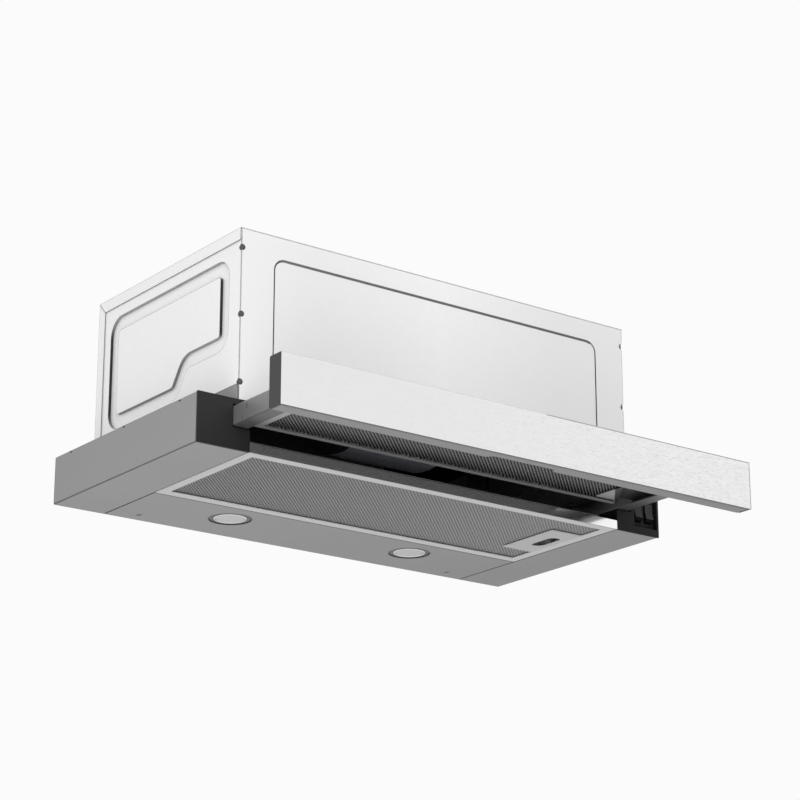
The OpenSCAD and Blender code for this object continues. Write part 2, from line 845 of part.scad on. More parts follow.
module ball_cage() {
    mid_top = arm_top + ball_room / 2;
    mid_low = arm_low - ball_room / 2;
    cage_x = arm_out + 1.9;
    ball_x = arm_out - 4.5;
    color(alu) in_hood() {
        run_y(cage_start, cage_start + cage_l) bent_sheet(
            [[-rail_lip - 1, mid_top + cage_t / 2], [-cage_x, mid_top + cage_t / 2],
             [-cage_x, mid_low - cage_t / 2], [-rail_lip - 1, mid_low - cage_t / 2]], cage_t, 0.4);
        for (i = [0 : balls_per_edge - 1], z = [mid_top, mid_low]) {
            translate([-ball_x, cage_start + 6 + i * ball_pitch, z]) sphere(d = ball_d, $fn = 24);
        }
    }
}

module ball_cage_left() ball_cage();
module ball_cage_right() on_right() ball_cage();

// Visor

module visor_arm() {
    tab = arm_in - 12;
    color(steel_grey) in_hood() difference() {
        union() {
            run_y(arm_front, arm_tail) bent_sheet(
                [[-arm_in, arm_top], [-arm_out, arm_top], [-arm_out, arm_low], [-arm_in, arm_low]], rail_t);
            block([-arm_out + 0.5, -tab], [arm_front, arm_front + rail_t], [arm_low + 3, arm_top - 1.5]);
            block([-arm_out + 0.5, -arm_in - 2], [arm_tail - rail_t, arm_tail],
                [arm_low + 0.5, arm_top - 0.5]);
        }
        for (x = arm_screw_x) {
            into_y(-x, arm_front - 1, arm_screw_z) cylinder(r = 2.1, h = 5);
        }
        block([-arm_out - 1, -arm_out + 0.5], [-15.5, -14.3], [arm_low - 1, arm_low + 5.5]);
        block([-arm_out - 1, -arm_out + 0.5], [-23.2, -22], span(arm_low, [12, 17]));
    }
}

module visor_arm_left() visor_arm();
module visor_arm_right() on_right() visor_arm();

module trim_plate() {
    r = 0.35;
    z = [snug, tray_h - snug];
    color(brushed) in_hood() run_x(-half_w, half_w)
        polygon(rounded([[trim_front, z[0]], [trim_front + plate_t, z[0]], [trim_front + plate_t, z[1]],
            [trim_front, z[1]]], [r, 0, 0, r]));
}

module trim_profile() {
    half = notch_w / 2;
    color(painted_grey) in_hood() difference() {
        run_x(-trim_end, trim_end) bent_sheet(
            [[trim_rear, trim_top], [web_y, trim_top], [web_y, trim_low], [trim_rear, trim_low]], sheet);
        translate([0, 0, -1]) linear_extrude(5) polygon(rounded(
            [[-half - 3, trim_rear + 2], [-half + 4, trim_rear - notch_d], [half - 4, trim_rear - notch_d],
             [half + 3, trim_rear + 2]], [0, 4, 4, 0]));
        for (x = arm_screw_x, side = [-1, 1]) {
            into_y(side * x, web_y - 1, arm_screw_z) cylinder(r = 2.1, h = 5);
        }
    }
}

module trim_cap() {
    low = trim_low - 0.1;
    high = trim_top + 0.1;
    color(dark_plastic) in_hood() {
        run_x(-half_w, -half_w + cap_t) polygon(rounded(
            [[web_y + seam, low], [trim_rear, low], [trim_rear, high], [web_y + seam, high]], [0, 2, 2, 0]));
        difference() {
            block([-half_w + 1, -half_w + cap_t + 8], [web_y + sheet + snug, trim_rear - 2],
                [trim_low + sheet + snug, trim_top - sheet - snug]);
            block([-half_w + cap_t, -half_w + cap_t + 9], [web_y + sheet + snug + 1.5, trim_rear],
                [trim_low + sheet + snug + 1.5, trim_top - sheet - snug - 1.5]);
        }
        block([-half_w + 1, -half_w + cap_t + 8], [web_y + sheet + snug, trim_rear - 4],
            about(tray_h / 2, 1.6));
    }
}

module trim_cap_left() trim_cap();
module trim_cap_right() on_right() trim_cap();

// Outline of the visor filter; its right end is cut back behind the control box
module visor_filter_outline() {
    polygon([[-vf_left, vf_front], [open_x - 43, vf_front], [open_x - 43, -58], [open_x - 11, -14],
        [open_x - 11, vf_rear], [-vf_left, vf_rear]]);
}

module visor_filter_window() {
    x = span(open_x, [-46, -20]);
    polygon([[-arm_in + 10, vf_front + 10], [x[0], vf_front + 10], [x[0], -18], [x[1], -18], [x[1] + 5, -12],
        [-arm_in + 10, -12]]);
}

// Folded filter frame: outline and window are children 0 and 1
module filter_shell(z, h, t) {
    translate([0, 0, z]) linear_extrude(t) difference() {
        children(0);
        children(1);
    }
    translate([0, 0, z]) linear_extrude(h) difference() {
        children(0);
        offset(delta = -t) children(0);
    }
    translate([0, 0, z + h - t]) linear_extrude(t) difference() {
        children(0);
        offset(delta = -5) children(0);
    }
}

// Expanded metal: slanting strands pressed up on both faces of one sheet, inside child 0
module expanded_mesh(z, h, slant) {
    n = ceil(400 / mesh_pitch);
    strand = mesh_pitch * 0.5;
    core = h / 2;
    top = [for (i = [-n : n]) each [[i * mesh_pitch, core + 0.4], [i * mesh_pitch, h],
        [i * mesh_pitch + strand, h], [i * mesh_pitch + strand, core + 0.4]]];
    low = [for (i = [n : -1 : -n]) each [[i * mesh_pitch + strand, core - 0.4], [i * mesh_pitch + strand, 0],
        [i * mesh_pitch, 0], [i * mesh_pitch, core - 0.4]]];
    intersection() {
        translate([0, 0, z - 1]) linear_extrude(h + 2) children();
        translate([0, 0, z]) rotate(slant) run_y(-500, 500) polygon(concat(top, low));
    }
}

module visor_filter_frame() {
    color(alu) in_hood() filter_shell(vf_z, visor_filter_t, lip_t) {
        visor_filter_outline();
        visor_filter_window();
    }
}

module visor_filter_mesh() {
    color(mesh_grey) in_hood() expanded_mesh(vf_z + lip_t + snug, visor_filter_t - 2 * lip_t - 2 * snug, 25)
        offset(delta = -lip_t - snug) visor_filter_outline();
}

module visor_brace() {
    x = arm_out - rail_t - part_gap;
    high = vf_top + snug + sheet;
    color(steel_grey) in_hood() run_y(vf_front + 2, -8)
        bent_sheet([[x, vf_z], [x, high], [open_x - 89, high]], sheet);
}

module visor_screws() {
    color(brushed) in_hood() for (x = arm_screw_x, side = [-1, 1]) {
        into_y(side * x, web_y + seam, arm_screw_z) cylinder(r = 2, h = sheet + rail_t);
        into_y(side * x, arm_front + rail_t, arm_screw_z) cylinder(r1 = 3, r2 = 2.2, h = 1.8, $fn = 32);
    }
}

// Grease filter

module grease_outline() translate([-filter_x, filter_y0]) square([2 * filter_x, filter_d]);
module grease_window() translate([-filter_x + filter_rim, filter_y0 + filter_rim])
    square([2 * (filter_x - filter_rim), filter_d - 2 * filter_rim]);

module grease_filter_frame() {
    color(alu) in_hood() {
        difference() {
            filter_shell(0, filter_t, lip_t) {
                grease_outline();
                grease_window();
            }
            block([filter_x - 3, filter_x + 1], about(latch_y, nose_w + 3), [lip_t + snug, lip_t + 3.2]);
        }
        for (y = [filter_y0 + 40, filter_y1 - 40]) {
            block([-filter_x - hook_l, -filter_x + 0.5], about(y, hook_w), span(sheet + snug, [0, 1.2]));
        }
    }
}

module latch_room() {
    translate([case_x0 - 0.6, latch_y - case_l / 2 - 0.6]) square([latch_x - case_x0 + 0.6, case_l + 1.2]);
    translate([latch_x - 3, latch_y - nose_w / 2 - 2]) square([filter_x, nose_w + 4]);
}

module grease_filter_mesh() {
    color(mesh_grey) in_hood() expanded_mesh(lip_t + snug, filter_t - 2 * lip_t - 2 * snug, 25) difference() {
        offset(delta = -lip_t - snug) grease_outline();
        latch_room();
    }
}

// Plate with the finger hole, and the case above it in which the bolt slides
module latch_plate() {
    case_top = filter_t - lip_t + 0.6;
    color(alu) in_hood() {
        linear_extrude(lip_t) difference() {
            translate([latch_x - 41, latch_y - latch_l / 2]) square([41, latch_l]);
            translate([finger_x, latch_y]) slot(finger_l, finger_w);
        }
        difference() {
            block([case_x0, latch_x], about(latch_y, case_l), [lip_t - 0.2, case_top]);
            block([case_x0 + 1, latch_x - 1], about(latch_y, case_l - 2), [0, case_top - 1]);
            block([latch_x - 3, latch_x + 1], about(latch_y, nose_w + 3), [lip_t + snug, case_top - 1]);
        }
    }
}

module latch_slider() {
    high = filter_t - lip_t - 0.8;
    nose_x = latch_x + 2;
    low = sheet + part_gap;
    color(steel_grey) in_hood() {
        block([rib_x, rib_x + 1.6], about(latch_y, 28), [lip_t + 0.6, high]);
        block([rib_x, nose_x + 1.5], about(latch_y, nose_w), [high - 1, high]);
        block([nose_x, nose_x + 1.5], about(latch_y, nose_w), [low, high]);
        block([nose_x, filter_x + snug], about(latch_y, nose_w), [low, low + 1.8]);
    }
}

// Leaf spring that pushes the bolt out
module latch_spring() {
    leaf_t = 0.4;
    x0 = case_x0 + 1.1;
    x1 = rib_x - seam - 1.1 * leaf_t;
    color(brushed) in_hood() translate([0, 0, 2.5]) linear_extrude(3.5) bent_sheet(
        [[x0, latch_y + 13], [x0 + 0.4, latch_y + 13], [x1, latch_y], [x0 + 0.4, latch_y - 13],
         [x0, latch_y - 13]], leaf_t, 0.1);
}

// Lamps

module lamp_places() in_hood() for (side = [-1, 1]) translate([side * lamp_pitch / 2, lamp_y, 0]) children();

module lamp_bezels() {
    barrel = lamp_hole - 0.3;
    back = lamp_t - seam;
    color(brushed) lamp_places() rotate_extrude()
        polygon([[rim_r - 1.2, 0.9], [rim_r - 1, 0.2], [rim_r - 0.5, 0], [rim_r, 0.3], [rim_r + 0.4, 0.7],
            [bezel_r, 0.7], [bezel_r, back], [barrel, back], [barrel, 10], [barrel - 1, 10],
            [barrel - 1, back], [rim_r - 0.4, back]]);
}

module lamp_lenses() {
    face = rim_r - 1.5;
    rim = lamp_hole - 1.5;
    back = lamp_t + seam;
    color([0.9, 0.9, 0.88]) lamp_places() rotate_extrude()
        polygon([[0, 0.3], [face - 1, 0.4], [face, 0.8], [face, back], [rim, back], [rim, 2.05], [0, 2.05]]);
}

module lamp_bodies() {
    r = lamp_hole - 1.5;
    color(steel_grey) lamp_places() {
        translate([0, 0, 2.15]) cylinder(r = r, h = 10);
        translate([0, 0, 12]) linear_extrude(14) {
            circle(r - 5);
            for (i = [0 : 15]) rotate(i * 22.5) translate([r - 6, -0.6]) square([6, 1.2]);
        }
        for (side = [0, 1]) {
            run_y(-4, 4) mirror([side, 0])
                bent_sheet([[r + 9, sheet + 0.3], [r + 6, 12.6], [r - 4, 12.6]], 0.6);
        }
    }
}

module panel_screws() {
    color(steel_grey) in_hood() for (side = [-1, 1]) {
        translate([side * panel_screw_x, panel_screw_y, 0]) {
            cylinder(r1 = 2.7, r2 = screw_r, h = sheet);
            cylinder(r = screw_r, h = 7);
        }
    }
}

module housing_rivets() {
    head_t = 1.2;
    color(steel_grey) in_hood() for (side = [0, 1], z = corner_hole_z) {
        mirror([side, 0, 0]) translate([-housing_x, 0, z]) rotate([0, 90, 45])
            translate([0, 0, corner_hole_t - head_t])
                cylinder(r1 = corner_hole_r - 1, r2 = corner_hole_r - snug, h = head_t, $fn = 32);
    }
}

// Micro switch behind the right arm, which starts the fan when the visor comes out

module micro_switch() {
    x = [rail_in - 7, rail_in - seam];
    z = span(arm_low, [6, 17]);
    color(dark_plastic) in_hood() difference() {
        union() {
            block(x, [switch_front, switch_front + 18], z);
            for (h = [8.5, 14.5]) {
                block(span(x[0], [2, 2.8]), span(switch_front, [17.5, 24]), about(arm_low + h, 3));
            }
        }
        into_y(x[0] + 3.4, switch_front - 1, arm_low + 11.5) cylinder(r = 1.5 + running, h = 6);
    }
}

module micro_switch_plunger() {
    color(brushed) in_hood()
        into_y(rail_in - 3.6, switch_front - 2.7, arm_low + 11.5) cylinder(r = 1.5, h = 6);
}

tray_side_left();
tray_side_right();
tray_back();
lamp_panel();
front_crossbar();
end_cover();
control_box();
light_rocker();
fan_rocker();
light_switch_body();
fan_switch_body();
housing_front();
housing_side_left();
housing_side_right();
housing_back();
housing_top();
outlet_collar();
flap_rod();
front_flap();
rear_flap();
collar_screws();
fan_scroll();
fan_scroll_cover();
impeller();
motor_shaft();
motor();
motor_bracket();
terminal_box();
terminal_box_lid();
run_capacitor();
led_driver();
cable_gland();
rail_left();
rail_right();
rail_brackets();
ball_cage_left();
ball_cage_right();
visor_arm_left();
visor_arm_right();
trim_plate();
trim_profile();
trim_cap_left();
trim_cap_right();
visor_filter_frame();
visor_filter_mesh();
visor_brace();
visor_screws();
grease_filter_frame();
grease_filter_mesh();
latch_plate();
latch_slider();
latch_spring();
lamp_bezels();
lamp_lenses();
lamp_bodies();
panel_screws();
housing_rivets();
micro_switch();
micro_switch_plunger();
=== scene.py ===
import math

import bmesh
import bpy
from mathutils import Matrix, Vector


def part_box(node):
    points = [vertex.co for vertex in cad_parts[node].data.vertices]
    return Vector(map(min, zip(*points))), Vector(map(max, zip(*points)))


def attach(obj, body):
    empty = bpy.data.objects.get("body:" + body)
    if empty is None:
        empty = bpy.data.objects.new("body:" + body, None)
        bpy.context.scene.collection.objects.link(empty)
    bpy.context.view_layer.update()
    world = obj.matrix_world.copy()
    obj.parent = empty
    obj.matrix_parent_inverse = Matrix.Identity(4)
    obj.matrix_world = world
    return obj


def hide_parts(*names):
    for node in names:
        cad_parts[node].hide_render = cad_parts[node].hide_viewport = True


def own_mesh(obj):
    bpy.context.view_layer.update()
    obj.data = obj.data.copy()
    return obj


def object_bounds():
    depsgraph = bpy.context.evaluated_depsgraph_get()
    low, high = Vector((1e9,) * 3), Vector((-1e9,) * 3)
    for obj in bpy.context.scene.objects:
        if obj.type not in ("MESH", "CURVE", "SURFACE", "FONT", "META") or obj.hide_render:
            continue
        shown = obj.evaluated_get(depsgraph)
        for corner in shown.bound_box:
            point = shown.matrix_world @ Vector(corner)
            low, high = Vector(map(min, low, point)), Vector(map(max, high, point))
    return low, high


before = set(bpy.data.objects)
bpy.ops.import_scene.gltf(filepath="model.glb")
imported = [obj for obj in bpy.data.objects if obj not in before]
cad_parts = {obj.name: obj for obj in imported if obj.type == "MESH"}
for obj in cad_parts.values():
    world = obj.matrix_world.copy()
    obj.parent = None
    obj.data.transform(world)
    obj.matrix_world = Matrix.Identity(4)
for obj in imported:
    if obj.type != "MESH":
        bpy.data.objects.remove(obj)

cad_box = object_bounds()
scene = bpy.context.scene
MM = 0.001

# The photograph is square and looks up at the hood from its front left corner, about 2.6 metres away.
# The place and the angles are in the hood's own frame: turn from +Y towards +X, and tilt upwards.
EYE = Vector((-1510.3, -2015.3, -708.7)) * MM
EYE_TURN = 36.743
EYE_TILT = 18.178
SENSOR = 36
PHOTO_SIZE = 800
FOCAL_PIXELS = 2483.8
AXIS_PIXEL = (399.3, 400.3)
NEAREST = 50 * MM

camera = bpy.data.cameras.new("eye")
camera.sensor_width = SENSOR
camera.lens = FOCAL_PIXELS * SENSOR / PHOTO_SIZE
camera.shift_x = (PHOTO_SIZE / 2 - AXIS_PIXEL[0]) / PHOTO_SIZE
camera.shift_y = (AXIS_PIXEL[1] - PHOTO_SIZE / 2) / PHOTO_SIZE
camera.clip_start = NEAREST
scene.camera = bpy.data.objects.new("eye", camera)
scene.camera.location = EYE
scene.camera.rotation_euler = (math.radians(90 + EYE_TILT), 0, math.radians(-EYE_TURN))
scene.collection.objects.link(scene.camera)


# The hood hangs in a bright studio: an even white surround, one broad soft lamp high on the left
# and a weaker one low in front. The floor lies far below, as the camera looks up from under the hood.
class Wire:
    """A shader socket of one material. Sums and products of wires add the Math nodes they need."""

    def __init__(self, tree, socket=None):
        self.tree = tree
        self.socket = socket

    def node(self, kind, settings=None, inputs=None, output=0):
        """Adds a node with its settings and its sockets' values or links, and gives one output."""
        made = self.tree.nodes.new("ShaderNode" + kind)
        for name, value in (settings or {}).items():
            setattr(made, name, value)
        for name, value in (inputs or {}).items():
            if isinstance(value, Wire):
                self.tree.links.new(value.socket, made.inputs[name])
            else:
                made.inputs[name].default_value = value
        return Wire(self.tree, made.outputs[output] if len(made.outputs) else None)

    def math(self, operation, first, second):
        return self.node("Math", {"operation": operation}, {0: first, 1: second})

    def __add__(self, other):
        return self.math("ADD", self, other)

    def __radd__(self, other):
        return self.math("ADD", other, self)

    def __sub__(self, other):
        return self.math("SUBTRACT", self, other)

    def __rsub__(self, other):
        return self.math("SUBTRACT", other, self)

    def __mul__(self, other):
        return self.math("MULTIPLY", self, other)

    def __rmul__(self, other):
        return self.math("MULTIPLY", other, self)

    def __abs__(self):
        return self.math("ABSOLUTE", self, 0)

    def above(self, limit):
        """1 where the wire is over the limit, else 0."""
        return self.math("GREATER_THAN", self, limit)

    def below(self, limit):
        """1 where the wire is under the limit, else 0."""
        return self.math("LESS_THAN", self, limit)

    def either(self, other):
        """The larger of two wires, which joins two masks."""
        return self.math("MAXIMUM", self, other)


def empty_tree(owner):
    """Clears a material's or the world's nodes and returns a wire to build from."""
    owner.use_nodes = True
    owner.node_tree.nodes.clear()
    return Wire(owner.node_tree)


def seen_directly(start):
    """1 for what the camera sees, straight, in a reflection or through glass."""
    straight, mirrored, through = (
        start.node("LightPath", output=name)
        for name in ("Is Camera Ray", "Is Glossy Ray", "Is Transmission Ray"))
    return straight.either(mirrored).either(through)


def grey(value, blue=0.0):
    return (value, value, value + blue)


def tone(start, low, high, share):
    """A colour between two others by a wire from 0 to 1. Each is three numbers or a wire."""
    first, second = (end if isinstance(end, Wire) else (*end, 1) for end in (low, high))
    return start.node("Mix", {"data_type": "RGBA"}, {0: share, 6: first, 7: second}, output=2)


BACKDROP_WHITE = (0.965, 0.965, 0.965, 1)
SURROUND_LIGHT = 0.56
FLOOR_DEPTH = 3.0
FLOOR_HALF = 9.0
FLOOR_GLOW = 0.9
LAMP_AIM = Vector((0, 0, 0.12))

world = bpy.data.worlds.new("studio")
scene.world = world
sky = empty_tree(world)
surround = sky.node("Background", inputs={"Color": (1, 1, 1, 1), "Strength": SURROUND_LIGHT})
backdrop = sky.node("Background", inputs={"Color": BACKDROP_WHITE, "Strength": 1})
sky.node("OutputWorld", inputs={"Surface": sky.node(
    "MixShader", inputs={0: seen_directly(sky), 1: surround, 2: backdrop})})

floor_paint = bpy.data.materials.new("floor_paint")
paint = empty_tree(floor_paint)
grain = paint.node("TexNoise", inputs={"Scale": 3, "Detail": 4}, output="Fac")
pale = paint.node("BsdfDiffuse", inputs={"Color": tone(paint, grey(0.86), grey(0.9), grain)})
glow = paint.node("Emission", inputs={"Color": BACKDROP_WHITE, "Strength": 1})
paint.node("OutputMaterial", inputs={"Surface": paint.node(
    "MixShader", inputs={0: seen_directly(paint) * FLOOR_GLOW, 1: pale, 2: glow})})

shape = bmesh.new()
bmesh.ops.create_grid(shape, x_segments=8, y_segments=8, size=FLOOR_HALF,
                      matrix=Matrix.Translation((0, 0, -FLOOR_DEPTH)))
mesh = bpy.data.meshes.new("floor")
shape.to_mesh(mesh)
shape.free()
mesh.materials.append(floor_paint)
floor = bpy.data.objects.new("floor", mesh)
scene.collection.objects.link(floor)


def soft_lamp(name, place, size, power):
    """An area lamp that faces the hood's middle and stays out of the metal's reflections."""
    light = bpy.data.lights.new(name, "AREA")
    light.size = size
    light.energy = power
    lamp = bpy.data.objects.new(name, light)
    lamp.location = place
    lamp.rotation_euler = (LAMP_AIM - lamp.location).to_track_quat("-Z", "Y").to_euler()
    lamp.visible_glossy = False
    scene.collection.objects.link(lamp)


soft_lamp("key_lamp", (-1.8, -2.9, 1.9), size=3.0, power=94)
soft_lamp("low_lamp", (-1.0, -0.8, -0.9), size=1.0, power=11)

scene.view_settings.view_transform = "Standard"


# The tray is folded from one millimetre sheet steel and powder coated in a satin mid grey.
# Its side channels, rear channel and lamp panel are screwed together, and the trim's folded
# channel behind the front plate has the same coat, painted a little darker as shade.
BUMP_STRENGTH = 0.2
COAT_ROUGHNESS = 0.15
# The grey of the painted shade that the gap wire lays on.
PAINTED_SHADE_BLACK = 0.02
NEAR_BLACK = 0.03
FLAT = 0.9
MOSTLY = 0.5
EDGE_SAMPLES = 6
EDGE_GAIN = 6
LEVEL_RISE = 0.04


def surface(name, finish, metallic=0.0, coat=0.0, bump=0.03, specular=0.5):
    """A material from the wires that finish gives its channels. A height wire becomes a bump, so
    many millimetres deep, and where a gap wire is 1 the surface is matt black, a painted shade."""
    made = bpy.data.materials.new(name)
    start = empty_tree(made)
    channels = finish(start)
    gap = channels.pop("gap", None)
    relief = start.node("Bump", inputs={
        "Strength": BUMP_STRENGTH, "Distance": bump * MM, "Height": channels.pop("height")})
    inputs = {"Metallic": metallic, "Specular IOR Level": specular, "Coat Weight": coat,
              "Coat Roughness": COAT_ROUGHNESS, "Normal": relief}
    inputs.update(channels)
    shader = start.node("BsdfPrincipled", inputs=inputs)
    # The matt black that the gap wire mixes in is painted shade, for shadowed seams and pressed walls.
    if gap:
        black = start.node("BsdfDiffuse", inputs={"Color": (*grey(PAINTED_SHADE_BLACK), 1)})
        shader = start.node("MixShader", inputs={0: gap, 1: shader, 2: black})
    start.node("OutputMaterial", inputs={"Surface": shader})
    return made


def place_on(start, stretch=(1, 1, 1)):
    """Object coordinates in metres, stretched along each axis."""
    here = start.node("TexCoord", output="Object")
    return start.node("Mapping", inputs={"Vector": here, "Scale": stretch})


def noise(start, where, scale, detail=2):
    return start.node("TexNoise", inputs={"Vector": where, "Scale": scale, "Detail": detail}, output="Fac")


def part_of(start, vector, axis):
    return start.node("SeparateXYZ", inputs={"Vector": vector}, output=axis)


def facing(start):
    return start.node("NewGeometry", output="Normal")


def turned_from(start, axis, limit=FLAT):
    """1 where the surface turns away from the axis, 0 on the panel across it."""
    return abs(part_of(start, facing(start), axis)).below(limit)


def edge_line(start, radius, level=1.0):
    """1 on bends and cut edges, 0 on flats, and the level given on edges that run level."""
    blended = start.node("Bevel", {"samples": EDGE_SAMPLES}, {"Radius": radius})
    straight = facing(start)
    alike = start.node("VectorMath", {"operation": "DOT_PRODUCT"}, {0: blended, 1: straight}, output="Value")
    line = start.node("Math", {"operation": "MULTIPLY", "use_clamp": True}, {0: 1 - alike, 1: EDGE_GAIN})
    if level == 1:
        return line
    rise = abs(part_of(start, blended, "Z") - part_of(start, straight, "Z"))
    return line * (1 - rise.above(LEVEL_RISE) * (1 - level))


def darkened(start, share, colour, depth=NEAR_BLACK):
    """A colour taken towards a dark grey by a wire from 0 to 1."""
    return tone(start, colour, grey(depth), share)


def coat_nodes(finish, *names):
    for name in names:
        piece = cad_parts[name]
        piece.data.materials.clear()
        piece.data.materials.append(finish)


TRAY_EDGE = 2.1 * MM
TRAY_HEM = 1.0 * MM
TRAY_RIM = 4 * MM
CHANNEL_EDGE = 1.4 * MM
PLATE_LIP = 3.6 * MM
PEEL_SCALE = 900


def satin_coat(start):
    """Satin powder coat, painted lighter to the left and darker to the right as light falling off. Its
    bends are darkened as painted shade and scuffing, and black shadow is painted where the
    underside's sheets meet and along the hem.
    """
    where = place_on(start)
    peel = noise(start, where, PEEL_SCALE, 3)
    cloud = noise(start, where, 9, 4)
    specks = noise(start, where, 2600, 1)
    # Painted light and shade: the share falls with X, so the coat is lighter to the left and darker to the
    # right.
    share = 0.55 + cloud * 0.35 + specks * 0.15 - part_of(start, where, "X") * 1.4
    powder = tone(start, grey(0.19), grey(0.242, 0.002), share)
    # Painted shade and scuffing on the bends, and painted black shadow in the underside's seams and along the
    # hem.
    bends = edge_line(start, TRAY_EDGE)
    inner = (abs(part_of(start, where, "X")).below(cad_box[1].x - TRAY_RIM)
             * part_of(start, where, "Y").below(cad_box[1].y - TRAY_RIM))
    under = part_of(start, facing(start), "Z").below(-FLAT)
    hem = part_of(start, where, "Z").below(TRAY_HEM) * turned_from(start, "Z")
    return {"Base Color": darkened(start, bends, powder),
            "gap": (bends * inner * under * 0.9).either(hem * 0.55),
            "Roughness": 0.36 + cloud * 0.1 + peel * 0.06,
            "height": peel}


def channel_coat(start):
    """The same coat on the trim's channel, painted a little darker as shade, with a painted shadow
    along its lip behind the front plate and painted shade and scuffing on its edges.
    """
    where = place_on(start)
    peel = noise(start, where, PEEL_SCALE, 3)
    cloud = noise(start, where, 14, 3)
    powder = tone(start, grey(0.165), grey(0.19), cloud)
    # Painted shadow: the channel is dark along its lip, just behind the front plate.
    lip = part_of(start, where, "Y").below(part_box("trim_profile")[0].y + PLATE_LIP)
    shade_and_wear = edge_line(start, CHANNEL_EDGE).either(lip) * 0.6
    return {"Base Color": darkened(start, shade_and_wear, powder, depth=0.05),
            "Roughness": 0.34 + cloud * 0.12,
            "height": peel}


coat_nodes(surface("tray_coat", satin_coat, bump=0.06),
           "tray_side_left", "tray_side_right", "tray_back", "lamp_panel")
coat_nodes(surface("trim_channel_coat", channel_coat, bump=0.05), "trim_profile")


# The crossbar is a bright rolled strip in front of the grease filter. Its face is polished so far
# that it mirrors the dark visor above it, and faint rolling lines run along it.
STRIP_FLAT = 0.995


def polished_strip(start):
    lines = noise(start, place_on(start, (6, 900, 900)), 1, 4)
    haze = noise(start, place_on(start), 25, 3)
    rolled = tone(start, grey(0.92), grey(0.99), lines)
    # Painted shade: the strip's faces that turn away from its front are darkened.
    return {"Base Color": darkened(start, turned_from(start, "Y", STRIP_FLAT), rolled, depth=0.12),
            "Roughness": 0.07 + haze * 0.06 + lines * 0.05,
            "height": lines}


coat_nodes(surface("polished_strip", polished_strip, metallic=0.96, bump=0.02), "front_crossbar")


# Black moulded ABS: the tray's end cover and control box, the caps of the trim, the duct collar with
# its flaps, the electrical boxes and the cable gland. The mould leaves a fine spark-eroded grain.
MOULD_EDGE = 0.9 * MM


def moulded(dark, light, rough=0.46, scale=2200, sides=0.0):
    """A moulded skin between two greys, its edges darkened as painted shade and scuffing. By the
    share given as sides, its side walls are painted darker as shade.
    """
    def channels(start):
        where = place_on(start)
        sparks = noise(start, where, scale, 2)
        flow = noise(start, where, 18, 3)
        skin = tone(start, grey(dark), grey(light), flow * 0.6 + sparks * 0.4)
        # Painted shade and scuffing on the edges, and painted shade on the side walls by the share given as
        # sides.
        shade_and_wear = (edge_line(start, MOULD_EDGE) * 0.9).either(turned_from(start, "Y") * sides)
        return {"Base Color": darkened(start, shade_and_wear, skin, depth=dark * 0.15),
                "Roughness": rough + flow * 0.08 + sparks * 0.06,
                "height": sparks}
    return channels


coat_nodes(surface("black_abs", moulded(0.013, 0.02), bump=0.04, specular=0.26),
           "end_cover", "outlet_collar", "front_flap", "rear_flap", "terminal_box",
           "terminal_box_lid", "cable_gland", "micro_switch")
coat_nodes(surface("box_abs", moulded(0.019, 0.026, rough=0.52, sides=0.85), bump=0.04, specular=0.1),
           "control_box")
coat_nodes(surface("cap_abs", moulded(0.028, 0.036, rough=0.4), specular=0.35),
           "trim_cap_left", "trim_cap_right")


# The two rockers are a smoother, slightly glossy black than their box; their bodies behind it are
# grey glass-filled nylon with a matt skin.
def rocker_black(start):
    where = place_on(start)
    sparks = noise(start, where, 3200, 2)
    flow = noise(start, where, 18, 3)
    # Painted shade: the rockers' side walls are painted near black, while their fronts stay grey.
    sides = turned_from(start, "Y")
    return {"Base Color": tone(start, grey(0.034), grey(0.002), sides * 0.92 + sparks * 0.05),
            "Roughness": 0.28 + flow * 0.1 + sides * 0.4,
            "height": sparks}


coat_nodes(surface("rocker_abs", rocker_black, bump=0.02, specular=0.12), "light_rocker", "fan_rocker")
coat_nodes(surface("switch_nylon", moulded(0.05, 0.07, rough=0.55), bump=0.04),
           "light_switch_body", "fan_switch_body")


# The housing is pressed from zinc coated sheet steel and riveted at its front corners. The coat is
# pale, with a faint spangle of zinc crystals and a soft sheen; each panel has a pressed recess.
ZINC_EDGE = 1.3 * MM
FRONT_LINE = 1.7 * MM
WALL_TURN = 0.3
ACROSS_SHEET = -1 * MM
NARROW_FLANGE = 12 * MM
WIDE_FLANGE = 14 * MM


def pressed_area(node, axis, flange):
    """The corners of a panel inside its flanges, a little beyond its sheet on the axis across it."""
    low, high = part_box(node)
    inset = Vector([ACROSS_SHEET if side == axis else flange for side in "XYZ"])
    return low + inset, high - inset


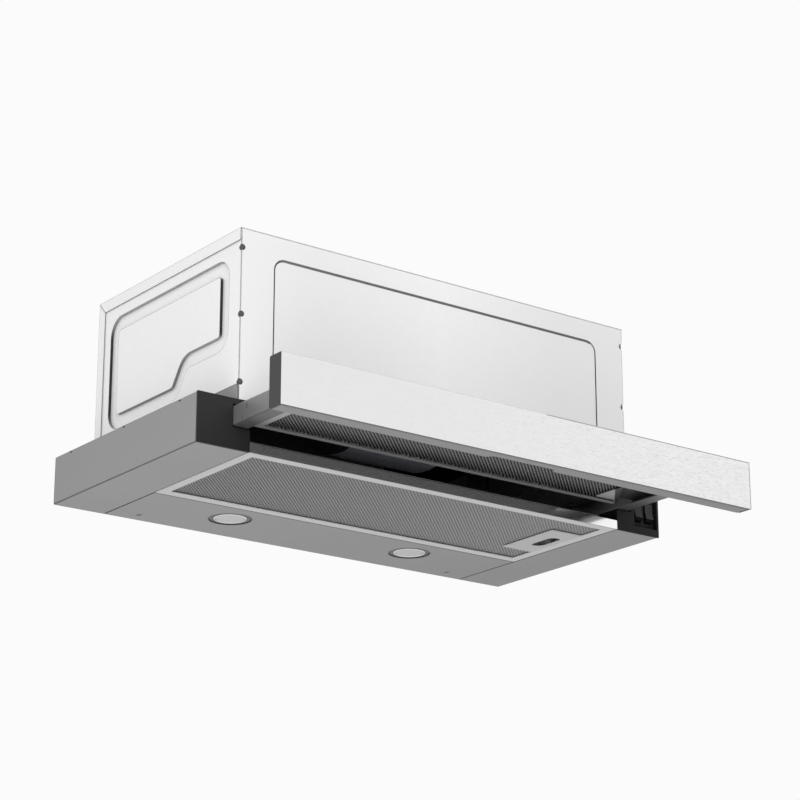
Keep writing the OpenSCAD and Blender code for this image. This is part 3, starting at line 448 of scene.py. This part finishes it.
def zinc_coat(node, axis, out, flange, level=1.0, bright=0.3, painted_falloff=0.0):
    """The coat of the panel that faces out along an axis. Painted shade darkens its pressing's walls and
    its inner face, but not the walls that face -X, towards the key lamp, behind the pressing's front
    run. Its edges are darkened as painted shade and scuffing, and its level edges may be paler than
    the others. By painted light, its middle is brighter than its ends."""
    pressed_low, pressed_high = pressed_area(node, axis, flange)

    def channels(start):
        where = place_on(start)
        crystals = start.node(
            "TexVoronoi", {"feature": "F1"}, {"Vector": where, "Scale": 170}, output="Color")
        spangle = start.node("SeparateColor", inputs={"Color": crystals}, output="Red")
        cloud = noise(start, where, 7, 4)
        grit = noise(start, where, 1800, 2)
        inner_face = (part_of(start, facing(start), axis) * out).below(-MOSTLY)
        drawn = turned_from(start, axis)
        for side, low, high in zip("XYZ", pressed_low, pressed_high):
            along = part_of(start, where, side)
            drawn = drawn * along.above(low) * along.below(high)
        slope = abs(part_of(start, facing(start), "Z"))
        # Walls that face -X, towards the key lamp, get no painted shade behind the front run of the pressing.
        lit_wall = (part_of(start, facing(start), "X").below(-WALL_TURN)
                      * part_of(start, where, "Y").above(pressed_low.y + FRONT_LINE))
        shade = drawn * (0.98 - slope * 0.45) * (1 - lit_wall)
        # Painted light: the share falls off from the middle towards the ends by the painted falloff.
        share = spangle * 0.12 + cloud * 0.2 + grit * 0.16 + bright - abs(part_of(start, where, "X")) * painted_falloff
        pale = tone(start, grey(0.8), grey(0.92, 0.004), share)
        # Painted shade on the pressing's walls and on the inner face, and painted shade and scuffing on the
        # edges.
        shade_and_wear = shade.either(inner_face * 0.72).either(edge_line(start, ZINC_EDGE, level) * 0.95)
        return {"Base Color": darkened(start, shade_and_wear, pale),
                # The steeper walls of the pressing are painted matt black as shade.
                "gap": shade * (1 - slope * 0.8) * 0.75,
                "Metallic": 0.3 - drawn.either(inner_face) * 0.3,
                "Roughness": 0.34 + spangle * 0.05 + cloud * 0.1 + drawn * 0.3,
                "height": grit}
    return channels


# The front's coat is brighter in its middle and darker at its ends, a painted falloff of light.
coat_nodes(surface("zinc_front", zinc_coat(
    "housing_front", "Y", -1, NARROW_FLANGE, level=0.2, bright=0.6, painted_falloff=5)), "housing_front")
for node, axis, out, flange in (
        ("housing_side_left", "X", -1, NARROW_FLANGE), ("housing_side_right", "X", 1, NARROW_FLANGE),
        ("housing_back", "Y", 1, WIDE_FLANGE), ("housing_top", "Z", 1, WIDE_FLANGE)):
    coat_nodes(surface("zinc_" + node, zinc_coat(node, axis, out, flange)), node)


# Inner ironwork of plain zinc plated strip: the slide rails with their brackets, the visor arms, the
# motor bracket, flap rod and shaft. Rolling leaves fine lines along the strip. The visor's brace is
# painted near black as shade, and the housing's rivets have a dark finish that also stands for the
# shade in their dimples.
STRIP_EDGE = 0.8 * MM
ALONG_X = (14, 700, 700)
ALONG_Y = (700, 14, 700)
ALONG_Z = (700, 700, 14)
EVEN = (160, 160, 160)


def plated(low, high, stretch, underside=0.0):
    """Plating between two greys, with lines along the strip, its edges darkened as painted shade and
    scuffing, and an underside painted darker as shade by the share given.
    """
    def channels(start):
        lines = noise(start, place_on(start, stretch), 1, 4)
        cloud = noise(start, place_on(start), 22, 3)
        zinc = tone(start, grey(low), grey(high), lines * 0.5 + cloud * 0.5)
        # Painted shade on the underside, and painted shade and scuffing on the edges.
        underneath = part_of(start, facing(start), "Z").below(-MOSTLY)
        shade_and_wear = (edge_line(start, STRIP_EDGE) * 0.7).either(underneath * underside)
        return {"Base Color": darkened(start, shade_and_wear, zinc),
                "Roughness": 0.3 + cloud * 0.14 + lines * 0.06,
                "height": lines}
    return channels


coat_nodes(surface("plated_rail", plated(0.3, 0.42, ALONG_Y), metallic=0.85),
           "rail_left", "rail_right", "rail_brackets", "latch_slider")
coat_nodes(surface("plated_arm", plated(0.18, 0.25, ALONG_Y, underside=0.55), metallic=0.4),
           "visor_arm_left", "visor_arm_right")
# Painted near black: painted shade for the brace, and a dark finish with painted shade for the rivets.
coat_nodes(surface("painted_shade_dark", plated(0.06, 0.1, ALONG_Y), metallic=0.5), "visor_brace", "housing_rivets")
plated_rod = surface("plated_rod", plated(0.42, 0.55, ALONG_X), metallic=1, bump=0.02)
coat_nodes(plated_rod, "flap_rod", "motor_shaft", "motor_bracket", "micro_switch_plunger")
coat_nodes(surface("cage_strip", plated(0.5, 0.62, ALONG_Y), metallic=0.9, bump=0.02),
           "ball_cage_left", "ball_cage_right")


# The fan: a blue-grey scroll of moulded polypropylene with its cover, a dark impeller, and a motor
# in a black stove enamelled can. Only the scroll's underside shows, through the air slot. Beside it
# are the capacitor's aluminium can and the lamp driver's pale case.
def scroll_blend(start):
    where = place_on(start)
    sparks = noise(start, where, 1400, 2)
    flow = noise(start, where, 18, 3)
    blend = tone(start, (0.76, 0.78, 0.88), (0.82, 0.84, 0.94), flow * 0.6 + sparks * 0.4)
    # Painted shade: the scroll's faces that turn sideways are darkened.
    ends = abs(part_of(start, facing(start), "X")).above(MOSTLY)
    return {"Base Color": darkened(start, ends * 0.9, blend),
            "Roughness": 0.42 + flow * 0.1,
            "height": sparks}


coat_nodes(surface("scroll_pp", scroll_blend, bump=0.04), "fan_scroll", "fan_scroll_cover")
coat_nodes(surface("impeller_nylon", moulded(0.045, 0.06, rough=0.5, scale=1800), bump=0.04), "impeller")
coat_nodes(surface("motor_enamel", moulded(0.03, 0.045, rough=0.3, scale=1200), coat=0.3), "motor")
coat_nodes(surface("capacitor_can", plated(0.6, 0.7, ALONG_Z), metallic=0.9, bump=0.02), "run_capacitor")
coat_nodes(surface("driver_case", moulded(0.55, 0.62, rough=0.5, scale=1500)), "led_driver")


# The visor's front trim is a plate of brushed stainless steel. Its grain runs the plate's length in
# short strokes, under broader cloudy patches that the brushing leaves, and it is bolder to the right.
PLATE_RIM = 1.1 * MM
RIM_START = 20 * MM
SMOOTH_END = -150 * MM
ROUGH_END = 250 * MM


def smooth_step(start, value, begin, end, first, last):
    """A wire that goes smoothly from first to last as the value goes from begin to end."""
    return start.node("MapRange", {"interpolation_type": "SMOOTHSTEP"}, {
        "Value": value, "From Min": begin, "From Max": end, "To Min": first, "To Max": last})


def brushed_plate(start):
    where = place_on(start)
    across = part_of(start, where, "X")
    strokes = noise(start, place_on(start, (170, 900, 900)), 1, 3)
    scratches = smooth_step(start, strokes, 0.3, 0.52, 0, 1)
    patches = noise(start, place_on(start, (40, 90, 260)), 1, 3)
    # The grain's contrast grows towards the right.
    grain_contrast = smooth_step(start, across, SMOOTH_END, ROUGH_END, 0.2, 1.0)
    bright = tone(start, grey(0.4), grey(1.0), 0.72 + (scratches * 0.26 + patches * 0.24 - 0.3) * grain_contrast)
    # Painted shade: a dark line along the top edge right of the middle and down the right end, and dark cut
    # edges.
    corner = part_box("trim_plate")[1] - Vector((PLATE_RIM, 0, PLATE_RIM))
    top_rim_shade = part_of(start, where, "Z").above(corner.z) * across.above(RIM_START)
    rim = top_rim_shade.either(across.above(corner.x)) * 0.6
    shade_and_wear = rim.either(turned_from(start, "Y") * 0.95)
    return {"Base Color": darkened(start, shade_and_wear, bright, depth=0.06),
            "Roughness": 0.26 + strokes * 0.1,
            "height": strokes}


coat_nodes(surface("brushed_plate", brushed_plate, metallic=1), "trim_plate")


# Both filters have a frame of mill finished aluminium, folded to a channel whose lips have bright cut
# edges. The latch plate is riveted to the grease filter's frame. The right end of the visor's
# frame, beyond its brace, is painted dark as shade.
MILL_EDGE = 0.7 * MM
CUT_EDGE = 1.05 * MM
CUT_BRIGHT = 0.7
SHADED_END_LINE = 294 * MM
END_LEAN = 0.86


def mill_aluminium(low, high, metal, line=0.2, painted_shade_dark=False):
    """Sheet between two greys, with its bends darkened as painted shade and scuffing by the share given
    as line, and where asked its end beyond a leaning line painted dark as shade.
    """
    def channels(start):
        where = place_on(start)
        lines = noise(start, place_on(start, (10, 800, 800)), 1, 4)
        cloud = noise(start, where, 30, 3)
        sheet = tone(start, grey(low), grey(high, 0.003), lines * 0.4 + cloud * 0.6)
        shade_and_wear = edge_line(start, MILL_EDGE) * line
        if painted_shade_dark:
            # Painted shade: the visor frame's end beyond a leaning line is painted dark.
            reach = part_of(start, where, "X") - part_of(start, where, "Y") * END_LEAN
            shade_and_wear = shade_and_wear.either(reach.above(SHADED_END_LINE))
        cut = part_of(start, where, "Z").below(CUT_EDGE) * turned_from(start, "Z")
        return {"Base Color": tone(start, darkened(start, shade_and_wear, sheet), grey(CUT_BRIGHT), cut),
                "Metallic": (1 - cut) * metal,
                "Roughness": 0.3 + cloud * 0.15 + lines * 0.05,
                "height": lines}
    return channels


coat_nodes(surface("grease_frame_sheet", mill_aluminium(0.5, 0.58, 0.7), bump=0.02), "grease_filter_frame")
coat_nodes(surface("latch_sheet", mill_aluminium(0.4, 0.47, 0.6), bump=0.02), "latch_plate")
coat_nodes(surface("visor_frame_sheet", mill_aluminium(0.34, 0.42, 0.6, line=0.6, painted_shade_dark=True), bump=0.02),
           "visor_filter_frame")


# The filter cloth is layers of aluminium strands laid crosswise at 45 degrees over a crumpled foil,
# which is painted near black as the shade deep in the cloth. Each layer is slit and stretched from
# one sheet, so the strands are flat ribbons tipped on edge. The visor's cloth is painted darker
# towards the air slot and lighter in front, as painted shade and light.
STRAND_PITCH = 3.19 * MM
STRAND_WIDTH = 1.75 * MM
STRAND_THICK = 0.35 * MM
VISOR_SHARE = 0.75
CROSSING_SHARE = 0.7
DULL_TIP = 24
DARK_TIP = -20
LAYER_STEP = 0.55 * MM
LAYER_INSET = 0.45 * MM
FOIL_WAVE = 6.4 * MM
FOIL_ROW = 9 * MM
FOIL_RISE = 0.5 * MM
FOIL_THICK = 0.3 * MM
# The painted shade on the visor's cloth deepens between these two depths.
SHADE_START = -112 * MM
SHADE_END = -86 * MM
# The margins of each window of cloth, in millimetres: left, right, front and rear.
GREASE_MARGINS = (1, 1, 1, 1)
VISOR_MARGINS = (23.5, 33.5, 8.5, 2.2)
CORNER_MARGINS = (450.5, 7, 119, 2.2)
LATCH_MARGIN = Vector((4.5, 4.5, 0)) * MM
LATCH_OVERRUN = Vector((20, 0, 0)) * MM


def strand_aluminium(low, high, lit_tone):
    """Strands from low to high behind the painted shade line, and of the lit tone in front of it."""
    def channels(start):
        where = place_on(start)
        glints = noise(start, where, 420, 2)
        film = noise(start, where, 12, 3)
        # Painted light and shade: the cloth takes the lit tone in front and the darker tone towards the air
        # slot.
        front = smooth_step(start, part_of(start, where, "Y"), SHADE_START, SHADE_END, 1.0, 0.0)
        shaded_tone = tone(start, grey(low), grey(high), glints * 0.5 + film * 0.5)
        return {"Base Color": tone(start, shaded_tone, grey(lit_tone), front),
                "Roughness": 0.3 + film * 0.2,
                "height": glints}
    return channels


def new_piece(name, shape, body, slot, finish, *stood_for):
    """Makes an object of a finished bmesh, riding on a body and standing for the CAD nodes named."""
    made = bpy.data.meshes.new(name)
    shape.to_mesh(made)
    shape.free()
    made.materials.append(finish)
    piece = bpy.data.objects.new(name, made)
    scene.collection.objects.link(piece)
    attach(piece, body)
    if stood_for:
        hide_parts(*stood_for)
    return piece


def lay_strands(shape, low, high, z, direction, width, tip, gap=None):
    """Ribbons at 45 degrees over the rectangle from low to high, left out where gap lies."""
    step = STRAND_PITCH * math.sqrt(2)
    turn = Matrix.Rotation(math.radians(45 * direction), 4, "Z") @ Matrix.Rotation(
        math.radians(tip * direction), 4, "X")
    crossings = [y - direction * x for x in (low.x, high.x) for y in (low.y, high.y)]
    for row in range(math.ceil(min(crossings) / step), math.floor(max(crossings) / step) + 1):
        offset = row * step
        for x0, x1 in stretches(low, high, direction, offset, gap):
            if x1 - x0 < STRAND_PITCH:
                continue
            middle = Vector(((x0 + x1) / 2, direction * (x0 + x1) / 2 + offset, z))
            size = Matrix.Diagonal(((x1 - x0) * math.sqrt(2), width, STRAND_THICK, 1))
            bmesh.ops.create_cube(shape, size=1, matrix=Matrix.Translation(middle) @ turn @ size)


def stretches(low, high, direction, offset, gap):
    """The spans in x of the line y = direction * x + offset inside the rectangle and outside the gap."""
    def inside(a, b):
        ends = sorted(((a.y - offset) * direction, (b.y - offset) * direction))
        return max(a.x, ends[0]), min(b.x, ends[1])
    x0, x1 = inside(low, high)
    if x0 >= x1:
        return []
    if gap:
        g0, g1 = inside(*gap)
        if g0 < g1:
            return [(x0, g0), (g1, x1)]
    return [(x0, x1)]


def foil(low, high, z, gap=None):
    """A crumpled opaque foil between the strand layers, which its finish paints near black as the shade
    deep in the cloth.
    """
    shape = bmesh.new()
    size = high - low
    columns = round(size.x / FOIL_WAVE) * 2
    rows = max(2, round(size.y / FOIL_ROW))
    bmesh.ops.create_grid(shape, x_segments=columns, y_segments=rows, size=0.5,
                          matrix=Matrix.Translation(((low.x + high.x) / 2, (low.y + high.y) / 2, z))
                          @ Matrix.Diagonal((size.x, size.y, 1, 1)))
    for vert in shape.verts:
        column = round((vert.co.x - low.x) / size.x * columns)
        row = round((vert.co.y - low.y) / size.y * rows)
        vert.co.z += FOIL_RISE if (column + row) % 2 else -FOIL_RISE
    if gap:
        doomed = [face for face in shape.faces
                  if gap[0].x < face.calc_center_median().x < gap[1].x
                  and gap[0].y < face.calc_center_median().y < gap[1].y]
        bmesh.ops.delete(shape, geom=doomed, context="FACES")
    bmesh.ops.recalc_face_normals(shape, faces=shape.faces)
    bmesh.ops.solidify(shape, geom=shape.faces[:], thickness=FOIL_THICK)
    return shape


def window_of(node, margins):
    """The rectangle that lies inside a node by its left, right, front and rear margins."""
    low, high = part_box(node)
    left, right, front, rear = (margin * MM for margin in margins)
    return Vector((low.x + left, low.y + front, 0)), Vector((high.x - right, high.y - rear, 0))


plate_low, plate_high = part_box("latch_plate")
latch_gap = (plate_low + LATCH_MARGIN, plate_high - LATCH_MARGIN + LATCH_OVERRUN)
strand_dull = surface("strand_dull", strand_aluminium(0.185, 0.31, 0.25), metallic=0.7, bump=0.04)
strand_dark = surface("strand_dark", strand_aluminium(0.055, 0.125, 0.15), metallic=0.7, bump=0.04)
# The foil's near black is painted shade for the depth of the cloth.
shaded_foil = surface("shaded_foil", strand_aluminium(0.012, 0.03, 0.07), metallic=0.5, bump=0.04, specular=0.2)
grease_windows = [window_of("grease_filter_mesh", GREASE_MARGINS)]
visor_windows = [window_of("visor_filter_frame", margins) for margins in (VISOR_MARGINS, CORNER_MARGINS)]
for filter_name, filter_body, windows, gap, metal, width, tip in (
        ("grease_filter", "grease_filter", grease_windows, latch_gap, strand_dull, STRAND_WIDTH, DULL_TIP),
        ("visor_filter", "visor", visor_windows, None, strand_dark, STRAND_WIDTH * VISOR_SHARE, DARK_TIP)):
    bottom, top = (corner.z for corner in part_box(filter_name + "_mesh"))
    for side, z, step in (("lower", bottom + LAYER_INSET, LAYER_STEP),
                          ("upper", top - LAYER_INSET, -LAYER_STEP)):
        shape = bmesh.new()
        for low, high in windows:
            lay_strands(shape, low, high, z, 1, width, tip, gap)
            if filter_name == "grease_filter":
                lay_strands(shape, low, high, z + step, -1, width * CROSSING_SHARE, tip, gap)
        stood_for = [filter_name + "_mesh"] if side == "lower" else []
        new_piece(f"{filter_name}_{side}_strands", shape, filter_body, "mesh_aluminium", metal, *stood_for)
    for number, (low, high) in enumerate(windows):
        new_piece(f"{filter_name}_foil_{number}", foil(low, high, (bottom + top) / 2, gap), filter_body,
                  "mesh_aluminium", shaded_foil)


# A leaf of spring steel stands behind the latch bolt, its feet on the case and its crown against the
# bolt. It is punched and bent from one strip.
LEAF_THICK = 0.4 * MM
leaf_low, leaf_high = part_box("latch_spring")
leaf_size = leaf_high - leaf_low
leaf_foot = Vector((leaf_low.x, (leaf_low.y + leaf_high.y) / 2, (leaf_low.z + leaf_high.z) / 2))
shape = bmesh.new()
bmesh.ops.create_grid(shape, x_segments=2, y_segments=24, size=0.5,
                      matrix=Matrix.Translation(leaf_foot)
                      @ Matrix.Rotation(math.radians(90), 4, "Y")
                      @ Matrix.Diagonal((leaf_size.z, leaf_size.y, 1, 1)))
for vert in shape.verts:
    along = (vert.co.y - leaf_low.y) / leaf_size.y
    vert.co.x += LEAF_THICK / 2 + (leaf_size.x - LEAF_THICK * 1.5) * math.sin(math.pi * along) ** 2
bmesh.ops.solidify(shape, geom=shape.faces[:], thickness=LEAF_THICK)
bmesh.ops.recalc_face_normals(shape, faces=shape.faces)
leaf = new_piece("latch_leaf", shape, "grease_filter", "plain_steel", plated_rod, "latch_spring")
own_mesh(leaf)


# Two round lamps sit in the rear panel. Each has a spun satin bezel, a frosted diffuser lens and a
# finned aluminium body above.
LAMP_X = 120 * MM
LAMP_Y = (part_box("lamp_bezels")[0].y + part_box("lamp_bezels")[1].y) / 2
RIM_RADIUS = 17.75 * MM


def satin_spun(start):
    """Spun metal, painted dark on the dished rim outside the lens as shade."""
    where = place_on(start)
    haze = noise(start, where, 60, 3)
    x = abs(part_of(start, where, "X")) - LAMP_X
    y = part_of(start, where, "Y") - LAMP_Y
    # Painted shade: the dished rim outside the lens is dark.
    dished = (x * x + y * y).above(RIM_RADIUS ** 2)
    return {"Base Color": tone(start, grey(0.82), grey(0.08), dished * 0.85 + haze * 0.1),
            "Roughness": 0.24 + haze * 0.12 + dished * 0.2,
            "height": haze}


def frosted_lens(start):
    frost = noise(start, place_on(start), 1500, 3)
    ribs = noise(start, place_on(start, (260, 260, 1)), 1, 2)
    return {"Base Color": tone(start, grey(0.46), grey(0.56, -0.01), frost * 0.6 + ribs * 0.4),
            "Roughness": 0.4 + frost * 0.15,
            "height": frost}


coat_nodes(surface("satin_bezel", satin_spun, metallic=0.9, bump=0.02), "lamp_bezels")
coat_nodes(surface("lamp_casting", moulded(0.4, 0.5, rough=0.4, scale=900), metallic=0.8), "lamp_bodies")
coat_nodes(surface("frosted_lens", frosted_lens, coat=0.1), "lamp_lenses")


# Small screws with cross recesses, of zinc plated steel: two countersunk in the lamp panel, whose
# plating is dark, four bright ones round the duct collar, and four that hold the trim to the
# visor's arms.
HEAD_SEGMENTS = 24
ARM_REACH = 0.62
ARM_HALF = 0.15
RECESS_DEPTH = 0.6
RECESS_TAPER = 0.7
PANEL_SCREW = {"face": 2.7 * MM, "edge": 2.4 * MM, "head": 1 * MM, "shank": 1.6 * MM, "length": 6 * MM}
COLLAR_SCREW = {"face": 2.4 * MM, "edge": 3.2 * MM, "head": 2 * MM, "shank": 1.6 * MM, "length": 7.5 * MM}
VISOR_SCREW = {"face": 2.2 * MM, "edge": 3 * MM, "head": 1.8 * MM, "shank": 2 * MM, "length": 2.1 * MM}
VISOR_SCREW_PITCH = 12 * MM


def cross_screw(shape, place, turn, size):
    """Adds a screw whose head faces +Z before the turn, with its seat at the place. Its size is
    the radii of its face, its head's edge and its shank, its head's height and its shank's length."""
    face = size["face"]
    screw = bmesh.new()
    bmesh.ops.create_grid(screw, x_segments=3, y_segments=3, size=face)
    for vert in screw.verts:
        for axis in (0, 1):
            outer = abs(vert.co[axis]) > face / 2
            vert.co[axis] = math.copysign(face * (ARM_REACH if outer else ARM_HALF), vert.co[axis])
    corners = [part for part in screw.faces
               if min(abs(along) for along in part.calc_center_median().xy) > face * ARM_HALF]
    bmesh.ops.delete(screw, geom=corners, context="FACES")
    bmesh.ops.delete(screw, geom=[vert for vert in screw.verts if not vert.link_faces], context="VERTS")
    cross = screw.faces[:]
    rim = [edge for edge in screw.edges if edge.is_boundary]
    ring = bmesh.ops.create_circle(screw, segments=HEAD_SEGMENTS, radius=face)["verts"]
    circle = list({edge for vert in ring for edge in vert.link_edges})
    bmesh.ops.bridge_loops(screw, edges=rim + circle)
    sunk = bmesh.ops.extrude_face_region(screw, geom=cross)["geom"]
    bmesh.ops.delete(screw, geom=[part for part in cross if part.is_valid], context="FACES_ONLY")
    bottom = [part for part in sunk if isinstance(part, bmesh.types.BMVert)]
    bmesh.ops.translate(screw, verts=bottom, vec=(0, 0, -RECESS_DEPTH * size["head"]))
    bmesh.ops.scale(screw, verts=bottom, vec=(RECESS_TAPER, RECESS_TAPER, 1))
    edge = circle
    for radius, drop in ((size["edge"], size["head"]), (size["shank"], 0), (size["shank"], size["length"])):
        grown = bmesh.ops.extrude_edge_only(screw, edges=edge)["geom"]
        verts = [part for part in grown if isinstance(part, bmesh.types.BMVert)]
        bmesh.ops.translate(screw, verts=verts, vec=(0, 0, -drop))
        share = radius / verts[0].co.xy.length
        bmesh.ops.scale(screw, verts=verts, vec=(share, share, 1))
        edge = [part for part in grown if isinstance(part, bmesh.types.BMEdge)]
    bmesh.ops.edgeloop_fill(screw, edges=edge)
    bmesh.ops.recalc_face_normals(screw, faces=screw.faces)
    bmesh.ops.transform(screw, verts=screw.verts, matrix=Matrix.Translation(place) @ turn
                        @ Matrix.Translation((0, 0, size["head"])))
    passing = bpy.data.meshes.new("screw")
    screw.to_mesh(passing)
    screw.free()
    shape.from_mesh(passing)
    bpy.data.meshes.remove(passing)


screw_zinc = surface("screw_zinc", plated(0.5, 0.62, EVEN), metallic=1, bump=0.02)
screw_dark = surface("screw_dark", plated(0.1, 0.16, EVEN), metallic=0.6, bump=0.02)
facing_down = Matrix.Rotation(math.pi, 4, "X")
facing_rear = Matrix.Rotation(math.radians(-90), 4, "X")

low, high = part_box("panel_screws")
shape = bmesh.new()
for x in (low.x + PANEL_SCREW["face"], high.x - PANEL_SCREW["face"]):
    seat = Vector((x, (low.y + high.y) / 2, low.z + PANEL_SCREW["head"]))
    cross_screw(shape, seat, facing_down, PANEL_SCREW)
new_piece("lamp_panel_screws", shape, "hood", "plain_steel", screw_dark, "panel_screws")

low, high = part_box("collar_screws")
centre = (low + high) / 2
reach = ((high.x - low.x) / 2 - COLLAR_SCREW["edge"]) * math.sqrt(2)
shape = bmesh.new()
for angle in (math.radians(45 + 90 * quarter) for quarter in range(4)):
    seat = Vector((centre.x + reach * math.cos(angle), centre.y + reach * math.sin(angle),
                   high.z - COLLAR_SCREW["head"]))
    cross_screw(shape, seat, Matrix.Rotation(angle, 4, "Z"), COLLAR_SCREW)
new_piece("collar_cross_screws", shape, "hood", "plain_steel", screw_zinc, "collar_screws")

low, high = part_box("visor_screws")
outermost = high.x - VISOR_SCREW["edge"]
shape = bmesh.new()
for side in (-1, 1):
    for x in (outermost, outermost - VISOR_SCREW_PITCH):
        seat = Vector((side * x, high.y - VISOR_SCREW["head"], (low.z + high.z) / 2))
        cross_screw(shape, seat, facing_rear, VISOR_SCREW)
new_piece("visor_cross_screws", shape, "visor", "plain_steel", screw_zinc, "visor_screws")
